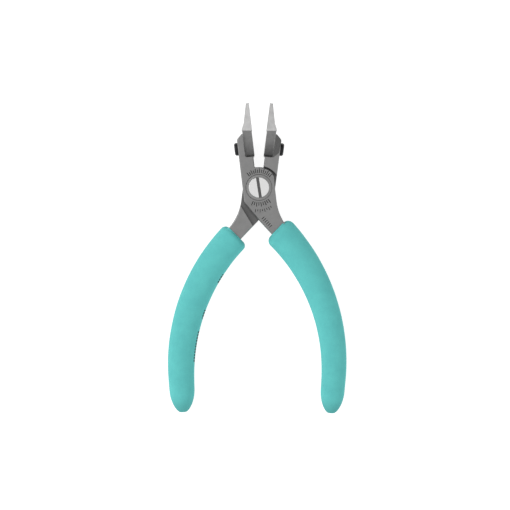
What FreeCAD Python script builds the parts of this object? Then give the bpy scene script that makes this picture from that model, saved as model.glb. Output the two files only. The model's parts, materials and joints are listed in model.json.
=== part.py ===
"""Flat nose pliers, 146 mm long: lap joint, hidden hairpin return spring, replaceable tips, foam grips.

Each lever is drawn closed, with the pivot at (0, 0), the jaws along +Y and the lap face on z = 0.
The front lever carries the left jaw and the right handle. The rear lever is the same forging turned
over about Y. Both are then swung open by OPEN_ANGLE, and everything is moved so that the origin is
the centre of the footprint on the surface that the pliers lie on.
"""

import math
import os

import FreeCAD, Part

V = FreeCAD.Vector
Z_AXIS = V(0, 0, 1)
Y_AXIS = V(0, 1, 0)
X_AXIS = V(1, 0, 0)
PIVOT = V(0, 0, 0)

# ---- driving dimensions, millimetres and degrees ----
OPEN_ANGLE = 7.0            # each lever, from closed to the stored open position
HEAD_THICK = 9.0            # steel thickness at the joint, jaws and shanks
LAP_GAP = 0.06              # running clearance between the two lap faces
EDGE_BREAK = 0.4            # chamfer round the forging

JAW_OUTER = 7.65            # half width of the closed jaws
JAW_INNER = 0.9             # crotch edge beside the centre plane
JAW_FOOT = 8.0              # below this the jaw's outer edge runs in to the lap
EAR_TOP = 25.9              # where the ear beside the tip holder stops
EAR_SHOULDER = 23.4         # where the ear starts to slope in
EAR_TOP_X = 5.1             # outer edge of the ear at its top
EAR_BEVEL_SLOPE = 9.5       # slope of the face ground across the ear on its lap side
EAR_BEVEL_TURN = 45.0       # which falls this far inwards of the way to the tip

BOSS_R = 9.5                # rounded front of the lap
SHOULDER_R = 10.15          # wall that the other lever's boss swings in
BOSS_SIDE = 7.45            # handle-side edge of the lap
BOSS_CORNER_R = 3.0         # rounding between the boss circle and its straight side
LAP_EDGE = 7.6              # jaw-side edge of the lap, below the pivot
LAP_EDGE_END = -5.4
LAP_BEND = V(-7.46, -6.25, 0)         # middle of the arc from that edge to the lap's corner
CROTCH = V(-1.5, -15.6, 0)  # where the two shanks cross
LAP_CORNER = V(-7.05, -7.05, 0)
HANDLE_STEP_OUT = V(7.05, -10.1, 0)   # full thickness starts beyond the line through these two
HANDLE_STEP_IN = V(0.45, -18.3, 0)

BOW_CENTRE = V(-63.54, -77.29, 0)     # the handle is one arc about this point
BOW_R = 89.6
BOW_STRAIGHT = -10.5        # below this bow angle the handle runs straight
SHANK_IN_R = 86.5
SHANK_OUT_R = 94.0
SHANK_FLARE_R = 24.0        # hollow between the lap's side and the shank
SHANK_END = 35.2            # bow angle where the thick shank steps down to the tang
TANG_ROOT = 1.5             # bow angle by which the tang reaches into the shank
TANG_END = -14.0
TANG_IN_R = 87.1
TANG_OUT_R = 93.3
TANG_THICK = 6.0
TANG_ROUND = 1.0

POCKET_FLOOR = 14.6
POCKET_SIDE = 4.75
POCKET_CORNER = 1.2
SEAT_CLEAR = 0.02           # fitted faces inside one lever

TIP_BASE = 27.35            # where the tip sits on its holder
TIP_BASE_X = 4.95           # outer edge of the tip there
TIP_END = 40.1              # pivot to the end of the tips
TIP_FACE = 0.03             # gripping face to the centre plane, closed
TIP_COLLAR = 0.9            # height of the collar where it meets the steel
TIP_COLLAR_X = 4.75         # outer edge of the collar's top
TIP_WAIST = V(-3.65, 30.75, 0)        # where the outer edge bends
TIP_END_WIDTH = 1.5
TIP_END_THICK = 1.9
TIP_END_BREAK = 0.25        # chamfer at the very end
TIP_ROOT_THICK = 5.0
TONGUE_LOW = V(-3.6, 24.0, -0.9)      # tenon under the tip: its corner and its size
TONGUE_SIZE = V(2.4, 5.0, 1.8)
HOLDER_FACE = 0.3
HOLDER_THICK = 8.7
HOLDER_NECK = 4.6           # holder thickness where the tip starts
HOLDER_ROUND = 0.7          # its bottom corner on the inner face
HOLDER_EDGE = 0.15          # chamfer between its scoops and its inner face
SCOOP_SLOPE = 12.5          # slope where the scoop's two arcs meet
SCOOP_ROOT_R = 2.0          # tight arc at the bottom of the scoop
SCOOP_ROOT_RISE = 1.7       # its centre above the pocket floor
SCOOP_STEEP = 75.0          # slope where it starts

SCREW_Y = 19.15             # clamp screw, M3 button head
SCREW_HEAD_R = 3.0
SCREW_HEAD_H = 1.65
SCREW_RIM = 0.75            # straight part of the head's side
SCREW_CROWN_R = 2.2         # flat on top of the head
SCREW_BULGE = 0.16          # rounding of the head between them
SCREW_R = 1.5
SCREW_TIP_X = 1.25
HEX_FLATS = 2.0
HEX_DEPTH = 1.0
DOWEL_Y = 22.75
DOWEL_R = 0.75
DOWEL_IN_LEVER = 1.6        # depths of its two holes, from the pocket's side
DOWEL_IN_HOLDER = 1.9
DOWEL_END_GAP = 0.05

PIVOT_HEAD_R = 4.8
PIVOT_HEAD_TOP = 5.0
PIVOT_HEAD_BREAK = 0.18
PIVOT_END = -4.38           # lower end of the screw, with its chamfer
PIVOT_END_BREAK = 0.3
PIVOT_R = 2.5
PIVOT_THREAD_R = 2.0
SLOT_WIDTH = 1.35
SLOT_DEPTH = 0.55
SLOT_TURN = 9.0
SHANK_LEAN = -53.5          # direction of the shank just below the lap
SHANK_TICKS = V(0.1, -14.3, 0)   # first of the row of ticks along it
TICK_DEPTH = 0.16
TICK_STEP = 0.5             # every other tick is this much shorter
WASHER_SEAT_R = 6.2
WASHER_SEAT_Z = 3.6
WASHER_THICK = 0.38
WASHER_DISH = 0.26          # how far its middle stands above its edge
SEAT_GAP = 0.01             # hair gap under a seated washer
BUSH_R = 3.2
BUSH_CLEAR = 0.04           # round the screw's shank
NUT_SEAT_R = 3.6
NUT_SEAT_Z = -2.25
NUT_END = -4.4              # underside of the nut
NUT_NOTCH = 1.1             # width of the spanner notches, and their depth
NUT_NOTCH_DEPTH = 0.8
NUT_NOTCH_TURN = 35.0
LOCK_WASHER_THICK = 0.35
LOCK_WASHER_R = 3.15        # to the roots of its teeth
LOCK_TEETH = 10
LOCK_TOOTH = (0.35, 0.5)    # length and width

SPRING_WIRE = 1.1
SPRING_COIL_R = 4.0
SPRING_BEND_R = 1.5
SPRING_POCKET = 0.8         # depth in each lap face
SPRING_POCKET_R = 8.95
SPRING_FLARE = 55.0         # angle below +X where the coil turns into a leg
SPRING_LEG_ANGLE = 60.0     # legs point this far below the X axis
SPRING_LEG = 2.9
STOP_ANGLE = 51.0           # the sector pocket's ends, below the X axis, levers open
PIN_R = 0.8
PIN_DEPTH = 3.0             # its hole in the lever
PIN_END_GAP = 0.15          # pin's end to the other lever's pocket floor

GRIP_TOP = {"front": 39.3, "rear": 37.2}     # bow angles of the grip mouths
GRIP_END = {"front": -20.9, "rear": -20.8}
# half widths in the plane of the handles, at the mouth, the middle and the end
GRIP_HALF = {"front": (7.7, 6.5, 5.45), "rear": (7.25, 6.85, 5.6)}
GRIP_THICK = (6.9, 6.15, 5.4)                # half thicknesses across it
GRIP_SET = {"front": 0.4, "rear": -0.15}    # how far outside the bow the foam sits at its mouth
GRIP_DOME = 11.0            # length of the rounded end
GRIP_DOME_FLAT = 75.0       # dome angle at which a small flat end cuts it off
GRIP_LIP = {"front": 3.4, "rear": 2.6}       # rounding at the mouth

FOOTPRINT_Y = 33.1          # pivot to the middle of the length
LIE_HEIGHT = 6.86           # mid-plane above the surface

HALF = HEAD_THICK / 2
LAP_Z = LAP_GAP / 2


# ---- small helpers ----
def polar(radius, degrees, centre=PIVOT):
    a = math.radians(degrees)
    return V(centre.x + radius * math.cos(a), centre.y + radius * math.sin(a), 0)


def line(a, b):
    return Part.LineSegment(a, b).toShape()


def arc(a, mid, b):
    return Part.Arc(a, mid, b).toShape()


def bow_arc(radius, start, end):
    """Edge of the bowed handle between two bow angles."""
    points = (polar(radius, a, BOW_CENTRE) for a in (start, (start + end) / 2, end))
    return arc(*points)


def prism(edges, low, high):
    """Closed plan outline in z = 0, raised to fill low..high."""
    face = Part.Face(Part.Wire(Part.__sortEdges__(edges)))
    face.translate(V(0, 0, low))
    return face.extrude(V(0, 0, high - low))


def polygon(points):
    closed = list(points) + [points[0]]
    return [line(a, b) for a, b in zip(closed, closed[1:])]


def cylinder(radius, low, high, x=0.0, y=0.0):
    return Part.makeCylinder(radius, high - low, V(x, y, low), Z_AXIS)


def cross_hole(radius, x_from, x_to, y, z=0.0):
    """Cylinder along X, as the clamp screw and dowel lie."""
    return Part.makeCylinder(radius, abs(x_to - x_from), V(min(x_from, x_to), y, z), X_AXIS)


def slab_along_x(edges_yz, x_low, x_high):
    """Side profile drawn as (y, z) edges in x = 0, pulled through x_low..x_high."""
    face = Part.Face(Part.Wire(Part.__sortEdges__(edges_yz)))
    face.translate(V(x_low, 0, 0))
    return face.extrude(V(x_high - x_low, 0, 0))


def revolve(points, centre=PIVOT, axis=Z_AXIS):
    """Solid turned about Z from (radius, z) points."""
    edges = polygon([V(r, 0, z) for r, z in points])
    return Part.Face(Part.Wire(edges)).revolve(centre, axis, 360)


# ---- the levers ----
def boss_corner():
    """Arc that rounds the boss circle into the lap's straight side: side, middle and circle points."""
    inside = BOSS_SIDE - BOSS_CORNER_R
    reach = BOSS_R - BOSS_CORNER_R
    centre = V(inside, math.sqrt(reach ** 2 - inside ** 2), 0)
    lean = math.degrees(math.atan2(centre.y, centre.x))
    return [polar(BOSS_CORNER_R, a, centre) for a in (0, lean / 2, lean)], lean


def lever_outline():
    """Plan outline of one closed lever from the crotch round the jaw, the lap and the shank."""
    crotch_top = V(-JAW_INNER, math.sqrt(BOSS_R ** 2 - JAW_INNER ** 2), 0)
    ear_in = V(-JAW_INNER, EAR_TOP, 0)
    ear_out = V(-EAR_TOP_X, EAR_TOP, 0)
    shoulder = V(-JAW_OUTER, EAR_SHOULDER, 0)
    foot = V(-JAW_OUTER, JAW_FOOT, 0)
    waist = V(-LAP_EDGE, 0, 0)
    side_low = V(-LAP_EDGE, LAP_EDGE_END, 0)

    # the shank's inner edge leaves the crossing point as a tangent to the bow
    reach = CROTCH.sub(BOW_CENTRE)
    lean = math.degrees(math.atan2(reach.y, reach.x) - math.acos(SHANK_IN_R / reach.Length))
    # the flare touches the lap's straight side and the bow's outer edge
    flare_x = BOSS_SIDE + SHANK_FLARE_R
    rise = math.sqrt((SHANK_OUT_R + SHANK_FLARE_R) ** 2 - (flare_x - BOW_CENTRE.x) ** 2)
    flare = V(flare_x, BOW_CENTRE.y + rise, 0)
    flare_end = math.degrees(math.atan2(rise, flare_x - BOW_CENTRE.x))
    flare_touch = polar(SHANK_OUT_R, flare_end, BOW_CENTRE)
    flare_top = V(BOSS_SIDE, flare.y, 0)
    flare_mid = polar(SHANK_FLARE_R, 180 + flare_end / 2, flare)

    corner, corner_angle = boss_corner()
    crotch_angle = math.degrees(math.atan2(crotch_top.y, crotch_top.x))
    boss_top = polar(BOSS_R, (crotch_angle + corner_angle) / 2)

    return [
        line(crotch_top, ear_in),
        line(ear_in, ear_out),
        line(ear_out, shoulder),
        line(shoulder, foot),
        line(foot, waist),
        line(waist, side_low),
        arc(side_low, LAP_BEND, LAP_CORNER),
        line(LAP_CORNER, CROTCH),
        line(CROTCH, polar(SHANK_IN_R, lean, BOW_CENTRE)),
        bow_arc(SHANK_IN_R, lean, SHANK_END),
        line(polar(SHANK_IN_R, SHANK_END, BOW_CENTRE), polar(SHANK_OUT_R, SHANK_END, BOW_CENTRE)),
        bow_arc(SHANK_OUT_R, SHANK_END, flare_end),
        arc(flare_touch, flare_mid, flare_top),
        line(flare_top, corner[0]),
        arc(*corner),
        arc(corner[2], boss_top, crotch_top),
    ]


def tang():
    """Thin bowed bar inside the grip."""
    start = SHANK_END + TANG_ROOT
    ends = [polar(r, a, BOW_CENTRE) for r in (TANG_IN_R, TANG_OUT_R) for a in (start, TANG_END)]
    edges = [
        bow_arc(TANG_IN_R, start, TANG_END),
        line(ends[1], ends[3]),
        bow_arc(TANG_OUT_R, start, TANG_END),
        line(ends[0], ends[2]),
    ]
    bar = prism(edges, -TANG_THICK / 2, TANG_THICK / 2)
    return bar.makeFillet(TANG_ROUND, long_edges(bar, TANG_THICK / 2))


def long_edges(solid, z):
    """Edges lying in the planes z and -z."""
    return [e for e in solid.Edges if all(abs(abs(v.Z) - z) < 1e-6 for v in e.Vertexes)]


def lap_relief():
    """The rear half of the thickness, between the jaw-side wall and the handle-side step."""
    run = HANDLE_STEP_IN.sub(HANDLE_STEP_OUT)
    top = HANDLE_STEP_OUT.sub(V(run).multiply(0.5))
    low = HANDLE_STEP_IN.add(V(run).multiply(0.6))
    corners = [V(top.x, 0, 0), V(-12, 0, 0), V(-12, low.y, 0), low, top]
    depth = -HALF - 1
    return prism(polygon(corners), depth, LAP_Z).fuse(cylinder(SHOULDER_R, depth, LAP_Z))


def insert_pocket():
    """Seat for the tip holder: open at the top and the gripping side."""
    floor, side, corner = POCKET_FLOOR, -POCKET_SIDE, POCKET_CORNER
    far = EAR_TOP + 4
    bend = V(side + corner, floor + corner, 0)
    edges = [
        line(V(2, floor, 0), V(side + corner, floor, 0)),
        arc(V(side + corner, floor, 0), polar(corner, 225, bend), V(side, floor + corner, 0)),
        line(V(side, floor + corner, 0), V(side, far, 0)),
        line(V(side, far, 0), V(2, far, 0)),
        line(V(2, far, 0), V(2, floor, 0)),
    ]
    return prism(edges, -HALF - 1, HALF + 1)


def ear_bevel():
    """Slope ground across the ear on its lap side, from the pocket's corner outwards."""
    run = 2 * (EAR_TOP - POCKET_FLOOR)
    drop = run * math.tan(math.radians(EAR_BEVEL_SLOPE))
    under = -HALF - 1
    slope = polygon([V(0, 0, -HALF), V(0, run, -HALF + drop), V(0, run, under), V(0, 0, under)])
    wedge = slab_along_x(slope, -run, 0)
    wedge.rotate(PIVOT, Z_AXIS, -EAR_BEVEL_TURN)
    wedge.translate(V(-POCKET_SIDE, POCKET_FLOOR, 0))
    return wedge


def spring_pocket():
    """Round seat and leg sector, cut into a lap face."""
    low, high = STOP_ANGLE + OPEN_ANGLE, 180 - STOP_ANGLE + OPEN_ANGLE
    ends = [polar(SPRING_POCKET_R, -a) for a in (low, high)]
    mid = polar(SPRING_POCKET_R, -(low + high) / 2)
    sector = [line(PIVOT, ends[0]), arc(ends[0], mid, ends[1]), line(ends[1], PIVOT)]
    floor = LAP_Z + SPRING_POCKET
    seat = cylinder(SPRING_COIL_R + SPRING_WIRE / 2 + 0.3, -1, floor)
    return prism(sector, -1, floor).fuse(seat)


def pin_place():
    """Centre of a spring pin in a closed lever: outside the leg that bears on it."""
    bend, _, touch = spring_bend()
    way = polar(1, -SPRING_LEG_ANGLE)
    out = V(-way.y, way.x, 0)
    leg = touch.add(V(way).multiply(SPRING_LEG * 0.76))
    spot = leg.add(V(out).multiply(SPRING_WIRE / 2 + PIN_R + 0.02))
    turn = math.degrees(math.atan2(spot.y, spot.x)) - OPEN_ANGLE
    return polar(math.hypot(spot.x, spot.y), turn)


def lever():
    """One forged lever: outline, lap, pocket, screw and pin holes."""
    body = prism(lever_outline(), -HALF, HALF)
    body = body.makeChamfer(EDGE_BREAK, long_edges(body, HALF))
    body = body.fuse(tang())
    pin = pin_place()
    cuts = [
        lap_relief(),
        insert_pocket(),
        ear_bevel(),
        spring_pocket(),
        cylinder(PIN_R, LAP_Z, LAP_Z + PIN_DEPTH, pin.x, pin.y),
        cross_hole(SCREW_R + 0.1, -JAW_OUTER - 1, -POCKET_SIDE + 1, SCREW_Y),
        cross_hole(DOWEL_R, -POCKET_SIDE - DOWEL_IN_LEVER, -POCKET_SIDE + 1, DOWEL_Y),
    ]
    for tool in cuts:
        body = body.cut(tool)
    return body.removeSplitter()


def front_lever():
    """Lever with the washer seat, the bush bore and the index ticks."""
    body = lever()
    body = body.cut(cylinder(BUSH_R, -1, HALF + 1))
    body = body.cut(cylinder(WASHER_SEAT_R, WASHER_SEAT_Z, HALF + 1))
    for tick in index_ticks():
        body = body.cut(tick)
    return body


def rear_lever():
    """Lever with the pivot bore and the nut seat, drawn before it is turned over."""
    body = lever()
    body = body.cut(cylinder(PIVOT_R + 0.01, -1, HALF + 1))
    return body.cut(cylinder(NUT_SEAT_R, -NUT_SEAT_Z, HALF + 1))


def index_ticks():
    """Shallow engraved ticks round the pivot: an upper and a lower arc, and a short row on the shank."""
    rows = [
        # first angle, last angle, count, inner radius, length, width
        (46, 130, 13, 6.75, 2.1, 0.42),
        (-112, -52, 9, 6.9, 2.1, 0.42),
        (-98, -58, 8, 10.2, 1.5, 0.34),
    ]
    ticks = []
    for first, last, count, inner, length, width in rows:
        for i in range(count):
            short = TICK_STEP if i % 2 else 0
            bar = Part.makeBox(length - short, width, 1, V(inner, -width / 2, HALF - TICK_DEPTH))
            bar.rotate(PIVOT, Z_AXIS, first + (last - first) * i / (count - 1) - OPEN_ANGLE)
            ticks.append(bar)
    for i in range(6):
        low = SHANK_TICKS.add(V(1.05 * i, -0.8, HALF - TICK_DEPTH))
        bar = Part.makeBox(0.4, 1.7, 1, low)
        bar.rotate(SHANK_TICKS, Z_AXIS, SHANK_LEAN)
        ticks.append(bar)
    return ticks


# ---- tips and what holds them ----
def tip_base_y(x):
    """Where the tip meets its holder: level once the lever is swung open."""
    return TIP_BASE - math.tan(math.radians(OPEN_ANGLE)) * (x + JAW_OUTER / 2)


def holder_scoop():
    """What is ground off one face: a tight arc at the bottom, running smoothly into a long one."""
    neck, top = HOLDER_NECK / 2, TIP_BASE + 0.5
    slope, steep = math.radians(SCOOP_SLOPE), math.radians(SCOOP_STEEP)
    root_y = POCKET_FLOOR + SCOOP_ROOT_RISE
    spread = (top - root_y) / math.sin(slope)
    long_r = spread + SCOOP_ROOT_R
    root_z = neck + long_r - spread * math.cos(slope)

    def on_arc(y, z, radius, lean):
        return V(0, y - radius * math.sin(lean), z - radius * math.cos(lean))

    start = on_arc(root_y, root_z, SCOOP_ROOT_R, steep)
    root_mid = on_arc(root_y, root_z, SCOOP_ROOT_R, (steep + slope) / 2)
    knee = on_arc(top, neck + long_r, long_r, slope)
    long_mid = on_arc(top, neck + long_r, long_r, slope / 2)
    end = V(0, top, neck)
    roof = [V(0, top + 2, neck), V(0, top + 2, HALF + 2), V(0, start.y, HALF + 2)]
    edges = [arc(start, root_mid, knee), arc(knee, long_mid, end)]
    edges += polygon([end] + roof + [start])[:-1]
    return slab_along_x(edges, -8, 2)


def scooped_edges(solid, wall):
    """Curved edges between the scoops and the wall that stands at this x."""
    boxes = [(edge, edge.BoundBox) for edge in solid.Edges]
    curved = [(edge, b) for edge, b in boxes if b.YLength > 0.5 and b.ZLength > 0.1 and b.XLength < 1e-6]
    return [edge for edge, b in curved if abs(b.XMin - wall) < 1e-6]


def holder():
    """Steel block that carries a tip: fits the pocket, scooped thinner towards the tip on both faces."""
    side, face, floor = -POCKET_SIDE + SEAT_CLEAR, -HOLDER_FACE, POCKET_FLOOR + SEAT_CLEAR
    big, small = POCKET_CORNER - 0.05, HOLDER_ROUND
    bend_out = V(side + big, floor + big, 0)
    bend_in = V(face - small, floor + small, 0)
    top_in, top_out = V(face, tip_base_y(face), 0), V(side, tip_base_y(side), 0)
    edges = [
        line(top_in, V(face, floor + small, 0)),
        arc(V(face, floor + small, 0), polar(small, -45, bend_in), V(face - small, floor, 0)),
        line(V(face - small, floor, 0), V(side + big, floor, 0)),
        arc(V(side + big, floor, 0), polar(big, 225, bend_out), V(side, floor + big, 0)),
        line(V(side, floor + big, 0), top_out),
        line(top_out, top_in),
    ]
    block = prism(edges, -HOLDER_THICK / 2, HOLDER_THICK / 2)
    scoop = holder_scoop()
    block = block.cut(scoop).cut(scoop.mirror(PIVOT, Z_AXIS))
    block = block.makeChamfer(HOLDER_EDGE, scooped_edges(block, face))
    block = block.cut(cross_hole(SCREW_R, side - 1, -SCREW_TIP_X + 0.1, SCREW_Y))
    block = block.cut(cross_hole(DOWEL_R, side - 1, side + DOWEL_IN_HOLDER, DOWEL_Y))
    return block.cut(tongue(SEAT_CLEAR))


def tongue(slack=0.0):
    """Tenon under the tip, and the mortise that it fits when slack is given."""
    size, room = TONGUE_SIZE, V(slack, slack, slack)
    return Part.makeBox(size.x + 2 * slack, size.y, size.z + 2 * slack, TONGUE_LOW.sub(room))


def tip():
    """Light, slender flat-nosed tip with a collar where it meets the steel."""
    face, end = -TIP_FACE, TIP_END
    low_in, low_out = V(face, tip_base_y(face), 0), V(-TIP_BASE_X, tip_base_y(-TIP_BASE_X), 0)
    collar_out = V(-TIP_COLLAR_X, low_out.y + TIP_COLLAR, 0)
    plan = polygon([
        low_in,
        V(face, end, 0),
        V(face - TIP_END_WIDTH, end, 0),
        TIP_WAIST,
        collar_out,
        low_out,
    ])
    blade = prism(plan, -HALF, HALF)
    root, point, cut = TIP_ROOT_THICK / 2, TIP_END_THICK / 2, TIP_END_BREAK
    taper = low_in.y + TIP_COLLAR
    upper = [(TONGUE_LOW.y, root), (taper, root), (end - cut, point), (end, point - cut)]
    lower = [(y, -z) for y, z in reversed(upper)]
    profile = polygon([V(0, y, z) for y, z in upper + lower])
    blade = blade.common(slab_along_x(profile, -8, 2))
    return blade.fuse(tongue()).removeSplitter()


def clamp_screw():
    """M3 button head screw through the ear into the holder."""
    seat, top = -JAW_OUTER, -JAW_OUTER - SCREW_HEAD_H
    rim, crown = V(seat - SCREW_RIM, SCREW_HEAD_R, 0), V(top, SCREW_CROWN_R, 0)
    shoulder = V(top + 0.3, (rim.y + crown.y) / 2 + SCREW_BULGE, 0)
    profile = [
        line(V(seat, 0, 0), V(seat, SCREW_HEAD_R, 0)),
        line(V(seat, SCREW_HEAD_R, 0), rim),
        arc(rim, shoulder, crown),
        line(crown, V(top, 0, 0)),
        line(V(top, 0, 0), V(seat, 0, 0)),
    ]
    head = Part.Face(Part.Wire(profile)).revolve(PIVOT, X_AXIS, 360)
    corner = HEX_FLATS / math.sqrt(3)
    turns = [k * math.pi / 3 for k in range(6)]
    hexagon = polygon([V(top - 1, corner * math.cos(t), corner * math.sin(t)) for t in turns])
    socket = Part.Face(Part.Wire(hexagon)).extrude(V(1 + HEX_DEPTH, 0, 0))
    head = head.cut(socket)
    head.translate(V(0, SCREW_Y, 0))
    shank = cross_hole(SCREW_R, seat - 0.01, -SCREW_TIP_X - 0.2, SCREW_Y)
    tip_cone = Part.makeCone(SCREW_R, 1.2, 0.2, V(-SCREW_TIP_X - 0.2, SCREW_Y, 0), X_AXIS)
    return head.fuse([shank, tip_cone]).removeSplitter()


def dowel():
    """Pin that stops the holder turning under its screw."""
    outer = -POCKET_SIDE - DOWEL_IN_LEVER + DOWEL_END_GAP
    inner = -POCKET_SIDE + DOWEL_IN_HOLDER - DOWEL_END_GAP
    return cross_hole(DOWEL_R, outer, inner, DOWEL_Y)


# ---- the joint ----
def pivot_screw():
    """Slotted shoulder screw, fixed in the rear lever."""
    under = WASHER_SEAT_Z + SEAT_GAP + WASHER_THICK + WASHER_DISH + 0.02
    shoulder = NUT_SEAT_Z + 0.05
    body = revolve([
        (0, PIVOT_END),
        (PIVOT_THREAD_R - PIVOT_END_BREAK, PIVOT_END),
        (PIVOT_THREAD_R, PIVOT_END + PIVOT_END_BREAK),
        (PIVOT_THREAD_R, shoulder),
        (PIVOT_R, shoulder),
        (PIVOT_R, under),
        (PIVOT_HEAD_R, under),
        (PIVOT_HEAD_R, PIVOT_HEAD_TOP - PIVOT_HEAD_BREAK),
        (PIVOT_HEAD_R - PIVOT_HEAD_BREAK, PIVOT_HEAD_TOP),
        (0, PIVOT_HEAD_TOP),
    ])
    return body.cut(groove(SLOT_WIDTH, PIVOT_HEAD_TOP - SLOT_DEPTH, PIVOT_HEAD_TOP + 1, SLOT_TURN))


def groove(width, low, high, turn):
    """Straight cut right across a round part, turned about the pivot."""
    reach = 2 * PIVOT_HEAD_R
    bar = Part.makeBox(width, reach, high - low, V(-width / 2, -reach / 2, low))
    bar.rotate(PIVOT, Z_AXIS, turn)
    return bar


def dished_washer():
    """Spring washer that takes up play under the head."""
    inner, outer = PIVOT_R + 0.1, WASHER_SEAT_R - 0.15
    base = WASHER_SEAT_Z + SEAT_GAP
    under = [(inner, base + WASHER_DISH), (outer, base)]
    upper = [(r, z + WASHER_THICK) for r, z in reversed(under)]
    return revolve(under + upper)


def pivot_bush():
    """Hardened bush pressed into the front lever."""
    tube = cylinder(BUSH_R, LAP_Z + SEAT_CLEAR, WASHER_SEAT_Z)
    return tube.cut(cylinder(PIVOT_R + BUSH_CLEAR, -1, HALF))


def lock_washer():
    """Toothed washer between the nut and its seat."""
    high = NUT_SEAT_Z - SEAT_GAP
    low = high - LOCK_WASHER_THICK
    ring = cylinder(LOCK_WASHER_R, low, high)
    length, width = LOCK_TOOTH
    for k in range(LOCK_TEETH):
        tooth = Part.makeBox(length, width, LOCK_WASHER_THICK, V(LOCK_WASHER_R - 0.15, -width / 2, low))
        tooth.rotate(PIVOT, Z_AXIS, 360 * k / LOCK_TEETH)
        ring = ring.fuse(tooth)
    return ring.cut(cylinder(PIVOT_THREAD_R + 0.1, -HALF, 0)).removeSplitter()


def pivot_nut():
    """Round lock nut, sunk in the rear lever, with two spanner notches."""
    body = cylinder(NUT_SEAT_R - 0.05, NUT_END, NUT_SEAT_Z - LOCK_WASHER_THICK - 2 * SEAT_GAP)
    body = body.cut(cylinder(PIVOT_THREAD_R, -HALF - 1, 0))
    return body.cut(groove(NUT_NOTCH, NUT_END, NUT_END + NUT_NOTCH_DEPTH, NUT_NOTCH_TURN))


def spring_bend():
    """Centre of the bend between coil and right leg, its start on the coil, and its end on the leg."""
    bend = polar(SPRING_COIL_R + SPRING_BEND_R, -SPRING_FLARE)
    leave = polar(SPRING_COIL_R, -SPRING_FLARE)
    touch = polar(SPRING_BEND_R, 270 - SPRING_LEG_ANGLE, bend)
    return bend, leave, touch


def flip(point):
    return V(-point.x, point.y, 0)


def return_spring():
    """Hairpin spring: most of a turn round the bush, and a leg to each lever's pin."""
    bend, leave, touch = spring_bend()
    bend_mid = polar(SPRING_BEND_R, (180 - SPRING_FLARE + 270 - SPRING_LEG_ANGLE) / 2, bend)
    foot = touch.add(polar(SPRING_LEG, -SPRING_LEG_ANGLE))
    path = Part.Wire([
        line(foot, touch),
        arc(touch, bend_mid, leave),
        arc(leave, V(0, SPRING_COIL_R, 0), flip(leave)),
        arc(flip(leave), flip(bend_mid), flip(touch)),
        line(flip(touch), flip(foot)),
    ])
    section = Part.Wire(Part.makeCircle(SPRING_WIRE / 2, foot, touch.sub(foot)))
    return path.makePipeShell([section], True, False)


def spring_pin():
    """Pin pressed into a closed lever's lap face, reaching into the other lever's pocket."""
    spot = pin_place()
    low = -LAP_Z - SPRING_POCKET + PIN_END_GAP
    return cylinder(PIN_R, low, LAP_Z + PIN_DEPTH - SEAT_CLEAR, spot.x, spot.y)


# ---- the grips ----
def bow_point(run, radius=BOW_R):
    """Point and bow angle, a distance along the handle from bow angle 0; straight below BOW_STRAIGHT."""
    arc_run = max(run, math.radians(BOW_STRAIGHT) * BOW_R)
    angle = math.degrees(arc_run / BOW_R)
    point = polar(radius, angle, BOW_CENTRE)
    return point.add(polar(run - arc_run, angle + 90)), angle


def between(values, share):
    """Smooth change from the first value through the middle one to the last."""
    first, middle, last = values
    ends = (1 - share) * (1 - 2 * share) * first - share * (1 - 2 * share) * last
    return ends + 4 * share * (1 - share) * middle


def grip_stations(length):
    """Distances from the mouth, each with how much of the full section is left there."""
    dome_start = length - GRIP_DOME
    stations = [(dome_start * k / 7, 1.0) for k in range(8)]
    for turn in (15, 30, 45, 60, GRIP_DOME_FLAT):
        a = math.radians(turn)
        stations.append((dome_start + GRIP_DOME * math.sin(a), math.cos(a)))
    return stations


def grip(which, steel):
    """Foam sleeve round the tang: oval sections along the bow, a rounded mouth, a domed end."""
    top, end = (math.radians(a[which]) * BOW_R for a in (GRIP_TOP, GRIP_END))
    length = top - end
    wires = []
    for along, scale in grip_stations(length):
        share = along / length
        wide = between(GRIP_HALF[which], share) * scale
        thick = between(GRIP_THICK, share) * scale
        centre, angle = bow_point(top - along, BOW_R + GRIP_SET[which] * (1 - 2 * share))
        wires.append(oval(centre, angle, wide, thick))
    sleeve = Part.makeLoft(wires, True, False)
    mouth = bow_point(top)[0]
    rim = min(sleeve.Edges, key=lambda e: e.CenterOfMass.sub(mouth).Length)
    return sleeve.makeFillet(GRIP_LIP[which], [rim]).cut(steel)


def oval(centre, angle, wide, thick):
    """Elliptical wire square to the bow."""
    out = polar(1, angle)
    major, minor = V(out).multiply(wide), Z_AXIS * thick
    ellipse = Part.Ellipse(centre + major, centre + minor, centre)
    return Part.Wire(ellipse.toShape())


# ---- assembly ----
def swing(shape, which):
    """From a closed lever's frame to its place in the open pliers."""
    placed = shape.copy()
    if which == "rear":
        placed.rotate(PIVOT, Y_AXIS, 180)
        placed.rotate(PIVOT, Z_AXIS, -OPEN_ANGLE)
    else:
        placed.rotate(PIVOT, Z_AXIS, OPEN_ANGLE)
    return placed


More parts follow.
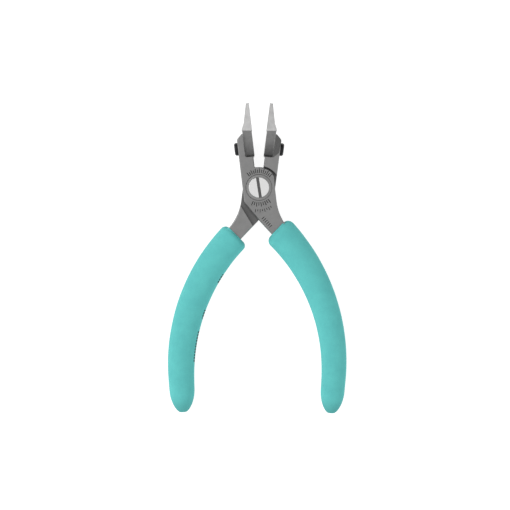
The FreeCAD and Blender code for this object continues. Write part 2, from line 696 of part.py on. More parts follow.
def build():
    """All nodes by name, in the row frame."""
    steel = {"front": front_lever(), "rear": rear_lever()}
    nodes = {
        "front_lever": swing(steel["front"], "front"),
        "rear_lever": swing(steel["rear"], "rear"),
        "pivot_screw": pivot_screw(),
        "dished_washer": dished_washer(),
        "pivot_bush": pivot_bush(),
        "lock_washer": lock_washer(),
        "pivot_nut": pivot_nut(),
        "return_spring": return_spring(),
    }
    sides = {"front": ("left", "right"), "rear": ("right", "left")}
    for which, (jaw_side, grip_side) in sides.items():
        nodes[f"{jaw_side}_tip"] = swing(tip(), which)
        nodes[f"{jaw_side}_tip_holder"] = swing(holder(), which)
        nodes[f"{jaw_side}_clamp_screw"] = swing(clamp_screw(), which)
        nodes[f"{jaw_side}_dowel"] = swing(dowel(), which)
        nodes[f"{which}_spring_pin"] = swing(spring_pin(), which)
        nodes[f"{grip_side}_grip"] = swing(grip(which, steel[which]), which)
    for shape in nodes.values():
        shape.translate(V(0, FOOTPRINT_Y, LIE_HEIGHT))
    return nodes


def main():
    os.makedirs("parts", exist_ok=True)
    nodes = build()
    for name, shape in nodes.items():
        solids = shape.Solids
        good = shape.isValid() and len(solids) == 1
        print(f"{name:18s} solids {len(solids)} valid {good} volume {shape.Volume:9.2f}")
        solids[0].exportStep(os.path.join("parts", name + ".step"))
    box = Part.makeCompound(list(nodes.values())).optimalBoundingBox(False, False)
    print("x", box.XMin, box.XMax, "y", box.YMin, box.YMax, "z", box.ZMin, box.ZMax)


main()
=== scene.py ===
"""Flat nose pliers lying open on a white board: finishes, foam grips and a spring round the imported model.

The scene is in metres in the row frame: +Y to the tips, +X to the right-hand grip, +Z up. The grips and the
spring are laid out in millimetres from the pivot, and then placed.
"""

import json
import math

import bmesh
import bpy
import numpy as np
from mathutils import Matrix, Vector, noise

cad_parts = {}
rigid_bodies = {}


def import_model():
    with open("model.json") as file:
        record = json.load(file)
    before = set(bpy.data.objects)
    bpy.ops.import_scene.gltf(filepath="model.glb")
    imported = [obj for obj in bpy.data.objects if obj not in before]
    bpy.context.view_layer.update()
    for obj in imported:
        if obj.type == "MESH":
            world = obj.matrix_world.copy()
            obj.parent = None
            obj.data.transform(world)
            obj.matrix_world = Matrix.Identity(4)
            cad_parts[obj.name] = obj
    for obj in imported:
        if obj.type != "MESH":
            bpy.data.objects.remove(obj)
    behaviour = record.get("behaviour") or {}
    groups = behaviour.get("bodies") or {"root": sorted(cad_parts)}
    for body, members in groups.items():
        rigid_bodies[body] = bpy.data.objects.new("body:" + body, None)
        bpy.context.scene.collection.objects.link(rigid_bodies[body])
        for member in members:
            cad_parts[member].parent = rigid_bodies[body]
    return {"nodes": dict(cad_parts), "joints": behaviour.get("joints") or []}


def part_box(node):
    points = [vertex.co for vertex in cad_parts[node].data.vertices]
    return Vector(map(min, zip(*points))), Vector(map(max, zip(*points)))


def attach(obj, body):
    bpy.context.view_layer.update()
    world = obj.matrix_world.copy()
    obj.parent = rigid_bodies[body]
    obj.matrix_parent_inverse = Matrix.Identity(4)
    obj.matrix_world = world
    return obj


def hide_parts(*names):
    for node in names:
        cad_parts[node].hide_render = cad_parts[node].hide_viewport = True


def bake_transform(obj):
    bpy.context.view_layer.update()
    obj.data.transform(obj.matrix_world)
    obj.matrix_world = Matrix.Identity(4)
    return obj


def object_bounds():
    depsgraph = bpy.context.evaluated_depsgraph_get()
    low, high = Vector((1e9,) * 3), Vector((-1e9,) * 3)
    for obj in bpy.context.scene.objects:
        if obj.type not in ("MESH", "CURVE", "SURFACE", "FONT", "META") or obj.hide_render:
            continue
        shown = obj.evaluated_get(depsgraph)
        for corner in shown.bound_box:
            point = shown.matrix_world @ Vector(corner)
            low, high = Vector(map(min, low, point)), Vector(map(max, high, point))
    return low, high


MM = 0.001

# ---- the grips, measured from the pivot on a closed lever, in millimetres and degrees ----
OPEN_ANGLE = 7.0                # each lever's turn from closed to open
BOW_CENTRE = np.array([-63.54, -77.29])     # the handle's middle follows this arc
BOW_R = 89.6
BOW_STRAIGHT = -10.5            # below this bow angle the handle runs straight
# bow angles of the mouths and the ends
GRIP_TOP = {"right_grip": 39.3, "left_grip": 37.2}
GRIP_END = {"right_grip": -20.9, "left_grip": -20.8}
# half widths at the mouth, the middle and the end
GRIP_HALF = {"right_grip": (7.7, 6.5, 5.45), "left_grip": (7.25, 6.85, 5.6)}
GRIP_THICK = (6.9, 6.15, 5.4)   # half thicknesses
GRIP_SET = {"right_grip": 0.4, "left_grip": -0.15}   # the mouth sits outside the bow, the end inside
GRIP_DOME = 11.0                # length of the rounded end
GRIP_DOME_CUT = 75.0            # dome angle at which a small flat nub ends it
GRIP_NUB = ((0.98, 0.14), (0.86, 0.05), (0.6, 0.03), (0.3, 0.02), (0.02, 0.02))   # share of its reach, sink
GRIP_LIP = {"right_grip": 3.4, "left_grip": 2.6}     # rounding at the mouth
GRIP_AROUND = 180               # points in a ring
GRIP_RING_STEP = 0.55
LIP_TURN = 6                    # degrees from ring to ring over the lip
DOME_RINGS = 34
SHANK_MID = 90.25               # bow radius of the steel's middle at the mouth
SHANK_HALF = (3.75, 4.5)
SHANK_POWER = 7.0               # how square the rounded rectangle round the steel is
FAR_REACH = 12.0                # beyond the steel in every direction
HALVINGS = 30
BORE_DEPTHS = (5.0, 3.0, 1.5)   # rings inside the mouth
BORE_GAP = 0.02                 # foam to steel inside the mouth
BORE_EDGE = 0.3                 # rounding where the bore opens
BORE_EDGE_GAP = 0.03
MOUTH_SINK = 0.04               # how far the visible mouth lies inside the model's end
FOAM_OVER_STEEL = 0.5           # least foam round the steel at the mouth
FOAM_SKIN = 0.01                # how far the visible skin lies inside the model's surface
SLOW_WAVE = (9.0, 0.05)         # unevenness of the skin: wavelength, and half its greatest depth
QUICK_WAVE = (2.6, 0.012)
SKIN_SEED = {"right_grip": 3.7, "left_grip": 11.2}
PRINTED_BARS = ((19.1, 24.8), (39.3, 44.1), (50.7, 66.4))   # from the mouth, inside of the left grip
PRINT_PITCH = 1.45              # each bar is a row of plain strokes
PRINT_STROKE = 0.72             # share of the pitch that is inked

# ---- the return spring, from the pivot, in millimetres and degrees ----
SPRING_COIL = 4.0               # radius of the coil's middle line
SPRING_BEND = 1.5               # radius of the bends into the legs
SPRING_WIRE = 1.1               # thickness of the wire
SPRING_FLARE = 55.0             # where the coil ends, below the X axis
SPRING_LEG_ANGLE = 60.0         # slope of the legs
SPRING_LEG = 2.9
SPRING_AROUND = 20              # points in a ring
LEG_STEPS, BEND_STEPS, COIL_STEPS = 8, 12, 40

# ---- greys and colours, linear; the shades are shares of the grey round them ----
LEVER_GREY, HOLDER_GREY, HEAD_GREY = 0.262, 0.235, 0.8
# the bevel and slot shades are painted shade
LAP_SHADE, TICK_SHADE, BEVEL_PAINTED_SHADE, SLOT_PAINTED_SHADE = 0.66, 0.25, 0.37, 0.17
# these three are painted shade: on the holders' scoops, at their roots, and at the grips' ends
SCOOP_PAINTED_SHADE, ROOT_PAINTED_SHADE, FOAM_END_PAINTED_SHADE = 0.55, 0.84, 0.72
OXIDE_BLACK, OXIDE_WORN = (0.018, 0.018, 0.02, 1.0), (0.16, 0.15, 0.145, 1.0)
FOAM_TEALS = ((0.116, 0.53, 0.53, 1.0), (0.126, 0.54, 0.51, 1.0))
PRINT_INK = (0.012, 0.036, 0.036, 1.0)
FLOOR_GREY, FLOOR_GLOW = 0.4, 0.86

# ---- how fine the steels are: noise features in a metre ----
CLOUDS = 260.0
BLASTED = 5200.0

# ---- stage and light ----
FLOOR_HALF = 3.0
SURROUND = (0.9, 0.9, 0.9, 1.0)
SURROUND_FADE = (0.05, 0.75)    # it dims as the +Y part of a direction grows from the first to the second
SURROUND_STRENGTH = (1.0, 0.12)     # before and after that
SOFTBOX_PLACE = (-0.75, 0.6, 0.85)
SOFTBOX_SIZE = 0.9
SOFTBOX_WATTS = 8.0

# ---- the camera: straight above, as for a catalogue ----
CAMERA_SPAN = 239.6 * MM        # width of the picture at the pliers' mid-plane
CAMERA_LENS = 120.0             # lens and sensor in millimetres
CAMERA_SENSOR = 36.0
CAMERA_ROLL = 0.32              # degrees
PIVOT_IN_VIEW = (1.83 * MM, 31.58 * MM)   # pivot from the picture's centre


def clear_scene():
    """Removes the objects that a new file starts with."""
    for item in list(bpy.data.objects):
        bpy.data.objects.remove(item)


clear_scene()
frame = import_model()
CAD_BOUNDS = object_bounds()
NODES = frame["nodes"]
JOINT = frame["joints"][0]
PIVOT = Vector(JOINT["pos_m"])


# ---- materials ----
class Finish:
    """One procedural material, built node by node."""

    def __init__(self, name):
        self.material = bpy.data.materials.new(name)
        self.material.use_nodes = True
        self.tree = self.material.node_tree
        self.shader = self.tree.nodes["Principled BSDF"]
        self.place = self.add("TexCoord").outputs["Object"]

    def add(self, kind, values=None, **settings):
        node = self.tree.nodes.new("ShaderNode" + kind)
        for key, value in settings.items():
            setattr(node, key, value)
        for key, value in (values or {}).items():
            self.put(node.inputs[key], value)
        return node

    def put(self, socket, value):
        if isinstance(value, bpy.types.NodeSocket):
            self.tree.links.new(value, socket)
        else:
            socket.default_value = value

    def set(self, **values):
        """Inputs of the Principled shader, underscores standing for spaces."""
        for key, value in values.items():
            self.put(self.shader.inputs[key.replace("_", " ")], value)

    def maths(self, operation, a, b=0.0):
        node = self.add("Math", operation=operation)
        for socket, value in zip(node.inputs, (a, b)):
            self.put(socket, value)
        return node.outputs[0]

    def product(self, first, *others):
        for factor in others:
            first = self.maths("MULTIPLY", first, factor)
        return first

    def noise(self, scale, detail=2.0, rough=0.5, stretch=None):
        """Noise with features of about 1 / scale metres, optionally stretched along the axes."""
        place = self.place
        if stretch:
            place = self.add("Mapping", {"Vector": place, "Scale": stretch}).outputs[0]
        values = {"Vector": place, "Scale": scale, "Detail": detail, "Roughness": rough}
        return self.add("TexNoise", values).outputs["Fac"]

    def cells(self, scale):
        """Distance to the nearest of many scattered points, about 1 / scale metres apart."""
        return self.add("TexVoronoi", {"Vector": self.place, "Scale": scale}).outputs["Distance"]

    def spread(self, value, low, high, out_low, out_high, smooth=False):
        """Maps low..high to out_low..out_high, and holds the ends beyond them."""
        kind = "SMOOTHSTEP" if smooth else "LINEAR"
        node = self.add("MapRange", interpolation_type=kind, clamp=True)
        for socket, number in zip(node.inputs, (value, low, high, out_low, out_high)):
            self.put(socket, number)
        return node.outputs[0]

    def vary(self, cloud, low, high):
        """Maps the usual range of a noise to low..high."""
        return self.spread(cloud, 0.3, 0.7, low, high)

    def shade(self, mask, factor):
        """Grey factor: 1 where the mask is 0, and the given one where the mask is 1."""
        return self.spread(mask, 0.0, 1.0, 1.0, factor)

    def band(self, value, low, high, soft):
        """1 between low and high, fading to 0 at them over a soft width."""
        rise = self.spread(value, low, low + soft, 0.0, 1.0)
        return self.product(rise, self.spread(value, high - soft, high, 1.0, 0.0))

    def mix(self, share, first, second, **settings):
        """The two colours sit in sockets 6 and 7, and their mix in output 2."""
        node = self.add("Mix", {"Factor": share, 6: first, 7: second}, data_type="RGBA", **settings)
        return node.outputs[2]

    def tone(self, colour, factor):
        """Colour times a grey factor."""
        level = self.add("CombineColor", {"Red": factor, "Green": factor, "Blue": factor}).outputs[0]
        return self.mix(1.0, colour, level, blend_type="MULTIPLY")

    def rounded(self, radius):
        """Surface direction with sharp edges rounded off."""
        return self.add("Bevel", {"Radius": radius}, samples=6).outputs[0]

    def painted_occlusion(self, distance, cornered, in_open, tight=0.15):
        """Painted shade from ambient occlusion: a grey factor with one value in a tight corner and another
        in the open; a corner value above 1 paints light there instead.
        """
        node = self.add("AmbientOcclusion", {"Distance": distance}, samples=8)
        return self.spread(node.outputs["AO"], tight, 0.9, cornered, in_open)

    def edge(self, normal):
        """1 on rounded-off edges, 0 on open faces."""
        plain = self.add("NewGeometry").outputs["Normal"]
        dot = self.add("VectorMath", operation="DOT_PRODUCT")
        self.put(dot.inputs[0], normal)
        self.put(dot.inputs[1], plain)
        return self.spread(dot.outputs["Value"], 0.995, 0.9, 0.0, 1.0)

    def bump(self, height, distance, strength=1.0, normal=None):
        values = {"Height": height, "Distance": distance, "Strength": strength}
        if normal is not None:
            values["Normal"] = normal
        return self.add("Bump", values).outputs[0]

    def axis(self, name):
        return self.add("SeparateXYZ", {"Vector": self.place}).outputs[name]

    def kept(self, name):
        """A number kept for each point of the mesh."""
        return self.add("Attribute", attribute_name=name).outputs["Fac"]


def grey(value, warmth=0.004):
    """A grey that is very slightly warm."""
    return (value * (1 + warmth), value, value * (1 - warmth), 1.0)


def satin(f, cloud, grit, rough):
    """Roughness of blasted or ground steel: cloudy, with the grain on top."""
    return f.maths("ADD", f.vary(cloud, rough - 0.04, rough + 0.05), f.vary(grit, -0.03, 0.04))


def steel(name, shade, rough, grain=BLASTED, grain_depth=0.006 * MM, draw=None, wear_and_highlight_lift=0.25):
    """Satin steel: blasted grain, cloudy tone, painted shade in crevices, and worn edges lifted further as
    a painted highlight.
    """
    f = Finish(name)
    cloud = f.noise(CLOUDS, 4.0, 0.6)
    grit = f.noise(grain, 3.0, 0.65, draw)
    round_off = f.rounded(0.12 * MM)
    # painted shade in corners and crevices; the rounded edges are lightened as wear and as a painted
    # highlight
    tone = f.product(f.vary(cloud, 0.93, 1.06), f.vary(grit, 0.94, 1.05), f.painted_occlusion(1.2 * MM, 0.72, 1.0))
    tone = f.maths("ADD", tone, f.product(f.edge(round_off), wear_and_highlight_lift))
    f.set(
        Base_Color=f.tone(grey(shade), tone),
        Metallic=1.0,
        Roughness=satin(f, cloud, grit, rough),
        Normal=f.bump(grit, grain_depth, 1.0, round_off),
    )
    return f


def holder_steel():
    """Burnished tip holders: fine grinding lines across, with painted shade darkening them towards the root
    of the scoop.
    """
    f = Finish("burnished_holder_steel")
    cloud = f.noise(320.0, 4.0, 0.6)
    lines = f.noise(3600.0, 3.0, 0.65, (0.15, 1.0, 1.0))
    round_off = f.rounded(0.1 * MM)
    low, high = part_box("left_tip_holder")
    along = f.axis("Y")
    # painted shade: darker towards the foot of the scoop, and darker again just above its root
    depth = f.spread(along, low.y, low.y + 0.75 * (high.y - low.y), SCOOP_PAINTED_SHADE, 1.0, smooth=True)
    root = f.spread(along, low.y + 0.2 * MM, low.y + 3.4 * MM, ROOT_PAINTED_SHADE, 1.0, smooth=True)
    # painted light: brighter where the pocket's walls close the holder in, lifting the shade they cast
    wall_painted_light = f.painted_occlusion(0.8 * MM, 1.9, 1.0, tight=0.35)
    tone = f.product(f.vary(cloud, 0.93, 1.06), f.vary(lines, 0.92, 1.06), depth, root, wall_painted_light)
    # painted highlight along the rounded edges
    tone = f.maths("ADD", tone, f.product(f.edge(round_off), 0.8))
    f.set(
        Base_Color=f.tone(grey(HOLDER_GREY), tone),
        Metallic=1.0,
        Roughness=f.vary(lines, 0.34, 0.44),
        Normal=f.bump(lines, 0.004 * MM, 1.0, round_off),
    )
    return f


def lever_shades(f):
    """Grey factors of the levers' darker faces: laps, floors of the engraved ticks, and painted shade on
    the tilted ear bevels.
    """
    height = f.axis("Z")
    up = f.add("SeparateXYZ", {"Vector": f.add("NewGeometry").outputs["Normal"]}).outputs["Z"]
    level = f.maths("ABSOLUTE", up)
    # lap faces, at the middle of the thickness, are darker
    from_middle = f.maths("ABSOLUTE", f.maths("SUBTRACT", height, PIVOT.z))
    near_middle = f.spread(from_middle, 1.2 * MM, 1.3 * MM, 1.0, 0.0)
    lap = f.product(f.spread(level, 0.9, 0.99, 0.0, 1.0), near_middle)
    # tick floors lie just under the front face
    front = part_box("front_lever")[1].z
    under = f.band(f.maths("SUBTRACT", front, height), 0.05 * MM, 0.22 * MM, 0.02 * MM)
    tick = f.product(under, f.spread(level, 0.995, 0.999, 0.0, 1.0))
    # the bevelled ears are tilted a little, and faces tilted so are darkened as painted shade
    bevel_painted_shade = f.product(f.spread(level, 0.975, 0.98, 0.0, 1.0), f.spread(level, 0.992, 0.996, 1.0, 0.0))
    return f.shade(lap, LAP_SHADE), f.shade(tick, TICK_SHADE), f.shade(bevel_painted_shade, BEVEL_PAINTED_SHADE)


def lever_steel():
    """Forged levers: satin steel with darker lap faces and engraved ticks, painted shade on the ground
    bevels and in crevices, and worn edges lifted as a painted highlight.
    """
    f = Finish("forged_steel")
    cloud = f.noise(CLOUDS, 4.0, 0.6)
    grit = f.noise(BLASTED, 3.0, 0.65)
    round_off = f.rounded(0.14 * MM)
    # painted shade in corners and crevices; the rounded edges are lightened as wear and as a painted
    # highlight
    tone = f.product(f.vary(cloud, 0.94, 1.06), f.vary(grit, 0.93, 1.06), f.painted_occlusion(1.4 * MM, 0.7, 1.0))
    tone = f.maths("ADD", tone, f.product(f.edge(round_off), 0.3))
    f.set(
        Base_Color=f.tone(grey(LEVER_GREY), f.product(tone, *lever_shades(f))),
        Metallic=1.0,
        Roughness=satin(f, cloud, grit, 0.44),
        Normal=f.bump(grit, 0.006 * MM, 1.0, round_off),
    )
    return f


def turned_steel():
    """Bright screw head: fine rings left by the lathe, round the pivot, with painted shade in the slot and
    in corners.
    """
    f = Finish("turned_steel")
    centred = f.add("VectorMath", {0: f.place, 1: tuple(PIVOT)}, operation="SUBTRACT").outputs[0]
    flat = f.add("VectorMath", {0: centred, 1: (1.0, 1.0, 0.0)}, operation="MULTIPLY").outputs[0]
    radius = f.add("VectorMath", {0: flat}, operation="LENGTH").outputs["Value"]
    values = {"W": radius, "Scale": 9000.0, "Detail": 2.0}
    rings = f.add("TexNoise", values, noise_dimensions="1D").outputs["Fac"]
    grit = f.noise(3000.0, 3.0, 0.6)
    round_off = f.rounded(0.1 * MM)
    height = f.maths("ADD", rings, f.product(grit, 0.5))
    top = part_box("pivot_screw")[1].z
    # painted shade: darker deeper than 0.25 to 0.45 mm under the top of the head, in the slot, and in
    # corners
    slot_painted_shade = f.spread(f.maths("SUBTRACT", top, f.axis("Z")), 0.25 * MM, 0.45 * MM, 1.0, SLOT_PAINTED_SHADE)
    tone = f.product(f.painted_occlusion(1.0 * MM, 0.45, 1.0), slot_painted_shade, f.vary(rings, 0.96, 1.02))
    f.set(
        Base_Color=f.tone(grey(HEAD_GREY, warmth=0.002), tone),
        Metallic=1.0,
        Roughness=f.vary(grit, 0.3, 0.42),
        Normal=f.bump(height, 0.004 * MM, 1.0, round_off),
    )
    return f


def black_oxide():
    """Clamp screws: black, slightly brown where the coating thins at the edges."""
    f = Finish("black_oxide")
    grit = f.noise(4200.0, 3.0, 0.6)
    round_off = f.rounded(0.1 * MM)
    colour = f.mix(f.product(f.edge(round_off), 0.35), OXIDE_BLACK, OXIDE_WORN)
    # painted shade in corners and crevices
    tone = f.product(f.vary(grit, 0.8, 1.25), f.painted_occlusion(1.0 * MM, 0.4, 1.0))
    f.set(
        Base_Color=f.tone(colour, tone),
        Metallic=0.6,
        Roughness=f.vary(grit, 0.34, 0.5),
        Normal=f.bump(grit, 0.005 * MM, 1.0, round_off),
    )
    return f


def foam(name, printed=()):
    """Teal closed-cell foam with a soft skin: fine pores, slight mottling, bars of printed strokes, and
    painted shade on the flanks near the floor and at the ends.
    """
    f = Finish(name)
    mottle = f.noise(170.0, 4.0, 0.6)
    skin = f.noise(2300.0, 4.0, 0.6)
    pores = f.spread(f.cells(2600.0), 0.0, 0.35, 0.0, 1.0, smooth=True)
    tone = f.product(
        f.vary(mottle, 0.95, 1.05),
        f.vary(skin, 0.96, 1.04),
        f.spread(pores, 0.0, 1.0, 0.93, 1.0),
        # painted shade: darker on the flanks near the floor, and towards the end of the grip
        f.painted_occlusion(11.0 * MM, 0.53, 1.0, tight=0.3),
        f.spread(f.kept("from_end"), 0.4, 9.0, FOAM_END_PAINTED_SHADE, 1.0, smooth=True),
    )
    colour = f.mix(mottle, *FOAM_TEALS)
    if printed:
        colour = f.mix(printed_mask(f, printed, skin), colour, PRINT_INK)
    height = f.maths("ADD", f.product(skin, 0.6), f.product(pores, 0.4))
    f.set(
        Base_Color=f.tone(colour, tone),
        Roughness=f.vary(skin, 0.78, 0.92),
        Specular_IOR_Level=0.2,
        Normal=f.bump(height, 0.05 * MM, 0.8),
    )
    return f


def printed_mask(f, bars, skin):
    """The ink's share: strokes across the inside of a grip, in bars along it, slightly ragged."""
    ragged = f.maths("ADD", f.kept("from_mouth"), f.vary(skin, -0.12, 0.12))
    barred = 0.0
    for start, stop in bars:
        barred = f.maths("ADD", barred, f.band(ragged, start, stop, 0.15))
    stroke = f.maths("FRACT", f.maths("DIVIDE", ragged, PRINT_PITCH))
    inked = f.spread(stroke, PRINT_STROKE, PRINT_STROKE + 0.06, 1.0, 0.0)
    return f.product(barred, inked, f.spread(f.kept("to_inside"), 0.925, 0.935, 0.0, 0.9))


def floor_finish():
    """White board that glows evenly, as a light table does: matt, with the faintest tooth."""
    f = Finish("white_board")
    tooth = f.noise(900.0, 3.0, 0.6)
    f.set(
        Base_Color=f.tone(grey(FLOOR_GREY, warmth=0.0), f.vary(tooth, 0.99, 1.01)),
        Roughness=f.vary(tooth, 0.88, 0.95),
        Specular_IOR_Level=0.2,
        Emission_Color=(1.0, 1.0, 1.0, 1.0),
        Emission_Strength=FLOOR_GLOW,
        Normal=f.bump(tooth, 0.004 * MM, 0.5),
    )
    return f


def finish_nodes():
    """Gives every CAD node its finish."""
    tips = steel(
        "ground_tip_steel", shade=0.58, rough=0.44, grain=2600.0, grain_depth=0.004 * MM,
        draw=(1.0, 0.12, 1.0), wear_and_highlight_lift=0.1,
    )
    holders = holder_steel()
    pins = steel("ground_pin_steel", shade=0.5, rough=0.32, grain=4200.0, grain_depth=0.003 * MM)
    washers = steel("spring_washer_steel", shade=0.3, rough=0.4, grain=4800.0, grain_depth=0.004 * MM)
    pinned = ("left_dowel", "right_dowel", "front_spring_pin", "rear_spring_pin")
    finishes = {
        lever_steel(): ("front_lever", "rear_lever"),
        turned_steel(): ("pivot_screw",),
        black_oxide(): ("left_clamp_screw", "right_clamp_screw"),
        tips: ("left_tip", "right_tip"),
        holders: ("left_tip_holder", "right_tip_holder"),
        pins: pinned + ("pivot_bush", "lock_washer"),
        washers: ("dished_washer", "pivot_nut"),
    }
    for finish, names in finishes.items():
        for name in names:
            NODES[name].data.materials.clear()
            NODES[name].data.materials.append(finish.material)


# ---- grips ----
def bow_point(run, set_out):
    """Centre of the grip, set out from the bow, and its outward direction, at a run from bow angle 0."""
    arc_run = max(run, math.radians(BOW_STRAIGHT) * BOW_R)
    angle = arc_run / BOW_R
    out = np.array([math.cos(angle), math.sin(angle)])
    along = np.array([-math.sin(angle), math.cos(angle)])
    return BOW_CENTRE + out * (BOW_R + set_out) + along * (run - arc_run), out


def between(values, share):
    """Smooth change from the first value through the middle one to the last."""
    first, middle, last = values
    ends = (1 - share) * (1 - 2 * share) * first - share * (1 - 2 * share) * last
    return ends + 4 * share * (1 - share) * middle


def section(name, along, length):
    """Half width and half thickness of the foam, a distance from the mouth."""
    wide, thick = between(GRIP_HALF[name], along / length), between(GRIP_THICK, along / length)
    into_dome = max(0.0, along - (length - GRIP_DOME)) / GRIP_DOME
    left = math.sqrt(max(0.0, 1.0 - into_dome * into_dome))
    return wide * left, thick * left


def oval_reach(half_a, half_b, turns):
    """Distance from the middle to an oval, in each direction."""
    return 1.0 / np.hypot(np.cos(turns) / half_a, np.sin(turns) / half_b)


def shank_reach(name, margin, turns):
    """Distance from the grip's middle line to a rounded rectangle round the steel, in each direction."""
    shift = SHANK_MID - BOW_R - GRIP_SET[name]
    half_a, half_b = SHANK_HALF[0] + margin, SHANK_HALF[1] + margin
    # halve the gap between a reach inside the outline and one beyond it until it is as good as nothing
    low, high = np.zeros_like(turns), np.full_like(turns, FAR_REACH)
    for _ in range(HALVINGS):
        middle = (low + high) / 2
        a, b = middle * np.cos(turns) - shift, middle * np.sin(turns)
        outside = np.abs(a / half_a) ** SHANK_POWER + np.abs(b / half_b) ** SHANK_POWER > 1.0
        low, high = np.where(outside, low, middle), np.where(outside, middle, high)
    return low


def eased(reach, passes=6):
    """Evens out kinks round a ring."""
    for _ in range(passes):
        reach = (np.roll(reach, 1) + 2 * reach + np.roll(reach, -1)) / 4
    return reach


def bore_rings(name, turns):
    """Rings from inside the mouth, along the steel, to the rounding where the bore opens."""
    inside = shank_reach(name, BORE_GAP, turns)
    rings = [(depth, inside) for depth in BORE_DEPTHS]
    for turn in (0, 30, 60, 90):
        a = math.radians(turn)
        reach = shank_reach(name, BORE_EDGE_GAP + BORE_EDGE * (1 - math.cos(a)), turns)
        rings.append((BORE_EDGE * (1 - math.sin(a)) + MOUTH_SINK, reach))
    return rings


def grip_rings(name):
    """One grip as rings, (distance from the mouth, reach in each direction): inside, lip, body, dome."""
    length = math.radians(GRIP_TOP[name] - GRIP_END[name]) * BOW_R
    turns = np.linspace(0, 2 * math.pi, GRIP_AROUND, endpoint=False)
    cover = shank_reach(name, FOAM_OVER_STEEL, turns)
    rings = bore_rings(name, turns)

    def skin(along, sink=0.0):
        wide, thick = (half - sink - FOAM_SKIN for half in section(name, along, length))
        return oval_reach(wide, thick, turns)

    lip = GRIP_LIP[name]
    for turn in range(90, -1, -LIP_TURN):
        a = math.radians(turn)
        along = lip * (1 - math.sin(a))
        reach = np.maximum(skin(along, lip * (1 - math.cos(a))), cover)
        rings.append((along + MOUTH_SINK, eased(reach)))
    body_end = length - GRIP_DOME
    count = int((body_end - lip) / GRIP_RING_STEP)
    for k in range(1, count + 1):
        along = lip + (body_end - lip) * k / count
        rings.append((along, skin(along)))
    for turn in np.linspace(0, GRIP_DOME_CUT - 3.0, DOME_RINGS)[1:]:
        along = body_end + GRIP_DOME * math.sin(math.radians(turn))
        rings.append((along, skin(along)))
    last = body_end + GRIP_DOME * math.sin(math.radians(GRIP_DOME_CUT))
    nub = skin(last)
    for share, sink in GRIP_NUB:
        rings.append((last - sink, nub * share))
    return length, turns, rings


def soften(points, normals, seed):
    """Slight unevenness of the skin, inward only."""
    moved = points.copy()
    (slow_length, slow_depth), (quick_length, quick_depth) = SLOW_WAVE, QUICK_WAVE
    for i, (p, n) in enumerate(zip(points, normals)):
        slow = noise.noise(Vector(p) / (slow_length * MM) + Vector((seed, 0, 0)))
        quick = noise.noise(Vector(p) / (quick_length * MM) + Vector((0, seed, 0)))
        moved[i] = p - n * ((slow + 1) * slow_depth + (quick + 1) * quick_depth) * MM
    return moved


def place_on_lever(points, name):
    """Closed-lever millimetres to the open pliers, in metres."""
    placed = points * MM
    turn = math.radians(OPEN_ANGLE)
    if name == "left_grip":
        placed = placed * np.array([-1.0, 1.0, -1.0])
        turn = -turn
    c, s = math.cos(turn), math.sin(turn)
    spin = np.array([[c, -s, 0], [s, c, 0], [0, 0, 1]])
    return placed @ spin.T + np.array(PIVOT)


def tube_faces(ring_count, around):
    """Four-sided faces from each ring of points to the next."""
    faces = []
    for r in range(ring_count - 1):
        for k in range(around):
            nxt = (k + 1) % around
            faces.append((r * around + k, r * around + nxt, (r + 1) * around + nxt, (r + 1) * around + k))
    return faces


def make_object(name, points, faces, material):
    """A smooth-shaded mesh with one material, put in the scene."""
    mesh = bpy.data.meshes.new(name)
    mesh.from_pydata([tuple(p) for p in points], [], faces)
    mesh.update()
    mesh.shade_smooth()
    mesh.materials.append(material)
    made = bpy.data.objects.new(name, mesh)
    bpy.context.scene.collection.objects.link(made)
    return made


def outward(mesh):
    """Turns faces outwards and returns the vertex normals."""
    work = bmesh.new()
    work.from_mesh(mesh)
    bmesh.ops.recalc_face_normals(work, faces=work.faces)
    work.to_mesh(mesh)
    work.free()
    mesh.update()
    normals = np.empty(len(mesh.vertices) * 3, np.float32)
    mesh.vertices.foreach_get("normal", normals)
    return normals.reshape(-1, 3)


def remember(mesh, name, values):
    """Keeps one number per point for the material to use."""
    layer = mesh.attributes.new(name, "FLOAT", "POINT")
    layer.data.foreach_set("value", np.asarray(values, np.float32))


def make_grip(name, body, material):
    """Foam sleeve round one tang, in place of its plain CAD solid."""
    length, turns, rings = grip_rings(name)
    top = math.radians(GRIP_TOP[name]) * BOW_R
    points = []
    for along, reach in rings:
        centre, out = bow_point(top - along, GRIP_SET[name] * (1 - 2 * along / length))
        flat = centre[None, :] + np.outer(reach * np.cos(turns), out)
        points.append(np.column_stack([flat, reach * np.sin(turns)]))
    points = place_on_lever(np.concatenate(points), name)
    faces = tube_faces(len(rings), GRIP_AROUND)
    faces.append(tuple(range((len(rings) - 1) * GRIP_AROUND, len(rings) * GRIP_AROUND)))
    grip = make_object(name + "_foam", points, faces, material)
    normals = outward(grip.data)
    moved = soften(points, normals, SKIN_SEED[name])
    grip.data.vertices.foreach_set("co", moved.astype(np.float32).ravel())
    grip.data.update()
    remember(grip.data, "from_mouth", np.repeat([along for along, _ in rings], GRIP_AROUND))
    remember(grip.data, "from_end", np.repeat([length - along for along, _ in rings], GRIP_AROUND))
    remember(grip.data, "to_inside", np.tile(-np.cos(turns), len(rings)))
    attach(grip, body)
    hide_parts(name)


# ---- return spring ----
def turned(radius, degrees, centre=(0.0, 0.0)):
    """A point at a radius and angle from a centre."""
    a = math.radians(degrees)
    return np.array([centre[0] + radius * math.cos(a), centre[1] + radius * math.sin(a)])


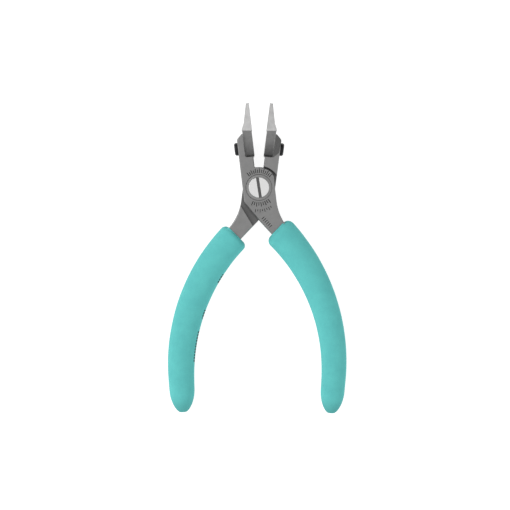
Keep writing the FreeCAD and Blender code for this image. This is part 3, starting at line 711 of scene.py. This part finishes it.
def spring_path():
    """Points along the hairpin, foot to foot, in millimetres from the pivot."""
    bend = turned(SPRING_COIL + SPRING_BEND, -SPRING_FLARE)
    touch = turned(SPRING_BEND, 270 - SPRING_LEG_ANGLE, bend)
    foot = touch + turned(SPRING_LEG, -SPRING_LEG_ANGLE)
    bend_angles = np.linspace(270 - SPRING_LEG_ANGLE, 180 - SPRING_FLARE, BEND_STEPS)
    half = [foot + (touch - foot) * k / LEG_STEPS for k in range(LEG_STEPS)]
    half += [turned(SPRING_BEND, a, bend) for a in bend_angles]
    half += [turned(SPRING_COIL, a) for a in np.linspace(-SPRING_FLARE, 90, COIL_STEPS)[1:]]
    other = [np.array([-p[0], p[1]]) for p in reversed(half[:-1])]
    return half + other


def make_spring(material):
    """Round wire along the hairpin."""
    path = np.array(spring_path())
    step = np.gradient(path, axis=0)
    step /= np.linalg.norm(step, axis=1)[:, None]
    side = np.column_stack([-step[:, 1], step[:, 0]])
    around, radius = SPRING_AROUND, SPRING_WIRE / 2
    turns = np.linspace(0, 2 * math.pi, around, endpoint=False)
    points = []
    for p, n in zip(path, side):
        flat = p[None, :] + np.outer(np.cos(turns) * radius, n)
        points.append(np.column_stack([flat, np.sin(turns) * radius]))
    points = np.concatenate(points) * MM + np.array(PIVOT)
    faces = tube_faces(len(path), around)
    faces.append(tuple(range(around)))
    faces.append(tuple(range((len(path) - 1) * around, len(path) * around)))
    spring = make_object("return_spring_wire", points, faces, material)
    outward(spring.data)
    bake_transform(spring)
    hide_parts("return_spring")


# ---- stage, light and camera ----
def make_floor():
    size, low = FLOOR_HALF, CAD_BOUNDS[0].z
    corners = [(-size, -size, low), (size, -size, low), (size, size, low), (-size, size, low)]
    floor = make_object("floor", corners, [(0, 1, 2, 3)], floor_finish().material)


def make_world():
    """Soft white surround that grows much darker beyond the tips."""
    world = bpy.data.worlds.new("studio")
    world.use_nodes = True
    tree = world.node_tree
    back = tree.nodes["Background"]
    place = tree.nodes.new("ShaderNodeTexCoord")
    parts = tree.nodes.new("ShaderNodeSeparateXYZ")
    tree.links.new(place.outputs["Generated"], parts.inputs[0])
    beyond = tree.nodes.new("ShaderNodeMapRange")
    beyond.interpolation_type = "SMOOTHSTEP"
    for socket, value in zip(beyond.inputs[1:5], SURROUND_FADE + SURROUND_STRENGTH):
        socket.default_value = value
    tree.links.new(parts.outputs["Y"], beyond.inputs[0])
    tree.links.new(beyond.outputs[0], back.inputs["Strength"])
    back.inputs["Color"].default_value = SURROUND
    bpy.context.scene.world = world


def make_softbox():
    """One large soft light from the upper left, aimed at the object's middle."""
    low, high = CAD_BOUNDS
    place, aim = Vector(SOFTBOX_PLACE), (low + high) / 2
    lamp = bpy.data.lights.new("left_softbox", "AREA")
    lamp.shape = "RECTANGLE"
    lamp.size, lamp.size_y = SOFTBOX_SIZE, SOFTBOX_SIZE
    lamp.energy = SOFTBOX_WATTS
    made = bpy.data.objects.new("left_softbox", lamp)
    made.location = place
    made.rotation_euler = (aim - place).to_track_quat("-Z", "Y").to_euler()
    bpy.context.scene.collection.objects.link(made)


def make_camera():
    """Looks straight down, rolled a little, with the pivot at its measured place in the picture."""
    roll = math.radians(CAMERA_ROLL)
    right = Vector((math.cos(roll), math.sin(roll), 0))
    up = Vector((-math.sin(roll), math.cos(roll), 0))
    centre = PIVOT - right * PIVOT_IN_VIEW[0] - up * PIVOT_IN_VIEW[1]
    distance = CAMERA_SPAN * CAMERA_LENS / CAMERA_SENSOR
    data = bpy.data.cameras.new("camera")
    data.lens, data.sensor_width = CAMERA_LENS, CAMERA_SENSOR
    camera = bpy.data.objects.new("camera", data)
    turn = Matrix((right, up, Vector((0, 0, 1)))).transposed().to_4x4()
    camera.matrix_world = Matrix.Translation(centre + Vector((0, 0, distance))) @ turn
    bpy.context.scene.collection.objects.link(camera)
    bpy.context.scene.camera = camera


def main():
    finish_nodes()
    make_grip("right_grip", "front_half", foam("teal_foam").material)
    make_grip("left_grip", "rear_half", foam("teal_foam_printed", PRINTED_BARS).material)
    wire = steel("spring_wire_steel", shade=0.42, rough=0.34, grain=5000.0, grain_depth=0.003 * MM)
    make_spring(wire.material)
    make_floor()
    make_world()
    make_softbox()
    make_camera()
    bpy.context.scene.view_settings.view_transform = "Standard"


main()
